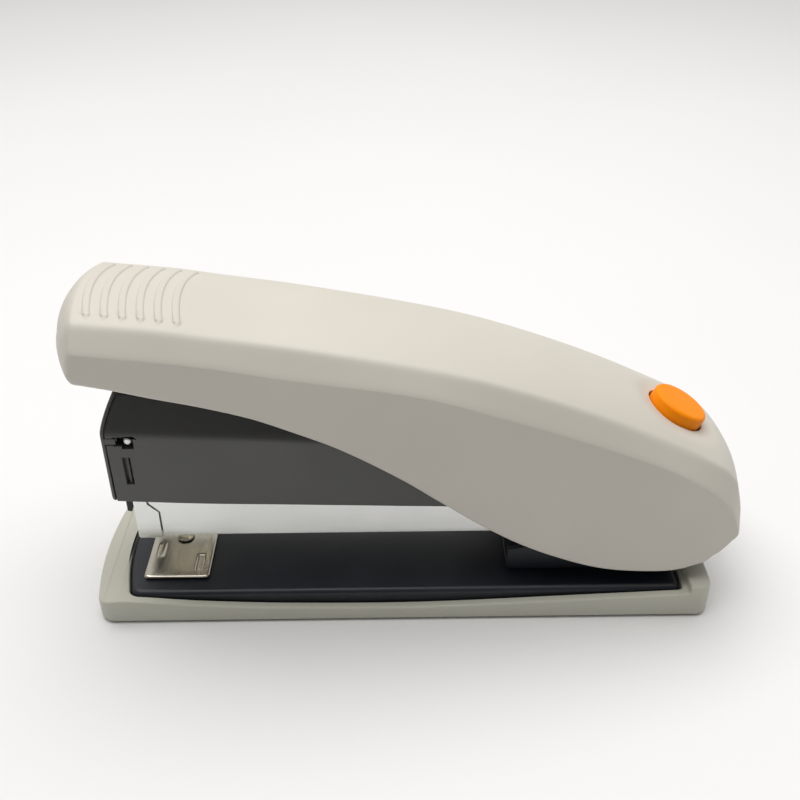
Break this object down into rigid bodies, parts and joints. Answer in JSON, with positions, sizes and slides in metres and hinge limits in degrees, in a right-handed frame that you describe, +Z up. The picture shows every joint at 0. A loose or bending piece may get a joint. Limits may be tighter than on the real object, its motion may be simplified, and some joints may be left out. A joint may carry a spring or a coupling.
{
  "type": "desktop stapler",
  "caption": "Hand-operated front-loading desktop stapler: long hinged handle, drive lever, drawer magazine, turning anvil and a round release button.",
  "frame": {"origin": "on the desk under the middle of the whole stapler's box", "axes": "+X along the stapler towards its rear hinge, the mouth and anvil towards -X; +Y across it; +Z up"},
  "size_m": [0.1494, 0.0412, 0.0778],
  "materials": {
    "warm_grey_plastic": "fine matt moulded texture",
    "dark_grey_plastic": "fine spark-eroded texture",
    "black_painted_steel": "satin black enamel",
    "zinc_plated_steel": "bright zinc plate with faint mottling",
    "nickel_plated_steel": "nickel plate",
    "bright_steel": "drawn bright steel",
    "orange_plastic": "satin moulded",
    "rubber": "matt",
    "black_plastic": "satin moulded",
    "staple_wire": "galvanised wire"
  },
  "bodies": {
    "base": {"base_tray": "warm_grey_plastic", "base_plate": "black_painted_steel", "foot_front_left": "rubber", "foot_front_right": "rubber", "foot_rear_left": "rubber", "foot_rear_right": "rubber", "rear_bracket": "black_painted_steel", "bracket_rivet_1": "bright_steel", "bracket_rivet_2": "bright_steel", "bracket_rivet_3": "bright_steel", "bracket_rivet_4": "bright_steel", "base_screw_front": "bright_steel", "base_screw_rear": "bright_steel", "hinge_pin": "bright_steel", "return_spring": "bright_steel"},
    "anvil": {"anvil_plate": "nickel_plated_steel", "anvil_pin": "nickel_plated_steel", "anvil_spring": "bright_steel"},
    "head": {"head_frame": "zinc_plated_steel", "head_housing": "dark_grey_plastic", "nose_cap": "dark_grey_plastic", "cap_pin_left": "bright_steel", "cap_pin_right": "bright_steel", "lever_bracket": "bright_steel", "lever_pin": "bright_steel", "spring_seat": "bright_steel", "rod_post_front": "bright_steel", "rod_post_rear": "bright_steel", "pusher_rod": "bright_steel", "pusher_spring": "bright_steel", "latch_pin": "bright_steel", "handle_spring": "bright_steel"},
    "drawer": {"magazine_channel": "zinc_plated_steel", "magazine_nose": "zinc_plated_steel", "drawer_pull": "black_plastic", "staple_rail": "zinc_plated_steel", "staple_strip": "staple_wire", "drawer_hook": "bright_steel"},
    "pusher": {"pusher": "black_plastic"},
    "driver": {"driver_blade": "bright_steel", "drive_pin": "bright_steel"},
    "lever": {"drive_lever": "bright_steel"},
    "handle": {"handle_cover": "warm_grey_plastic", "handle_frame": "zinc_plated_steel", "drive_ear_left": "bright_steel", "drive_ear_right": "bright_steel", "cam_pin": "bright_steel", "button_guide": "bright_steel", "button_spring": "bright_steel"},
    "button": {"release_button": "orange_plastic"},
    "latch": {"latch_lever": "bright_steel"}
  },
  "joints": [
    {"name": "anvil_turn", "type": "hinge", "parent": "base", "child": "anvil", "pos_m": [-0.0552, 0, 0.008], "axis": [0, 0, 1], "range_deg": [0, 180]},
    {"name": "head_press", "type": "hinge", "parent": "base", "child": "head", "pos_m": [0.05355, 0, 0.022], "axis": [0, -1, 0], "range_deg": [0, 2.8], "stiffness_Nm_per_rad": 0.4, "springref_deg": -40.11, "deforming": ["return_spring"]},
    {"name": "handle_press", "type": "hinge", "parent": "head", "child": "handle", "pos_m": [0.05355, 0, 0.022], "axis": [0, -1, 0], "range_deg": [0, 7.5], "stiffness_Nm_per_rad": 0.3, "springref_deg": -34.38, "deforming": ["handle_spring"]},
    {"name": "lever_swing", "type": "hinge", "parent": "head", "child": "lever", "pos_m": [0.00755, 0, 0.038], "axis": [0, -1, 0], "range_deg": [0, 6.3]},
    {"name": "blade_slide", "type": "slide", "parent": "head", "child": "driver", "axis": [0, 0, -1], "range_m": [0, 0.0073]},
    {"name": "drawer_slide", "type": "slide", "parent": "head", "child": "drawer", "axis": [-1, 0, 0], "range_m": [0, 0.082]},
    {"name": "pusher_slide", "type": "slide", "parent": "head", "child": "pusher", "axis": [1, 0, 0], "range_m": [0, 0.026], "stiffness_N_per_m": 30, "springref_m": -0.03, "deforming": ["pusher_spring"]},
    {"name": "button_press", "type": "slide", "parent": "handle", "child": "button", "axis": [-0.454, 0, -0.891], "range_m": [0, 0.0022], "stiffness_N_per_m": 500, "springref_m": -0.002, "deforming": ["button_spring"]},
    {"name": "latch_swing", "type": "hinge", "parent": "head", "child": "latch", "pos_m": [0.04505, 0, 0.0416], "axis": [0, 1, 0], "range_deg": [0, 13]}
  ],
  "couplings": [
    {"joint": "lever_swing", "follows": "handle_press", "ratio": 0.8267},
    {"joint": "blade_slide", "follows": "handle_press", "m_per_rad": 0.055},
    {"joint": "latch_swing", "follows": "button_press", "rad_per_m": 100}
  ]
}
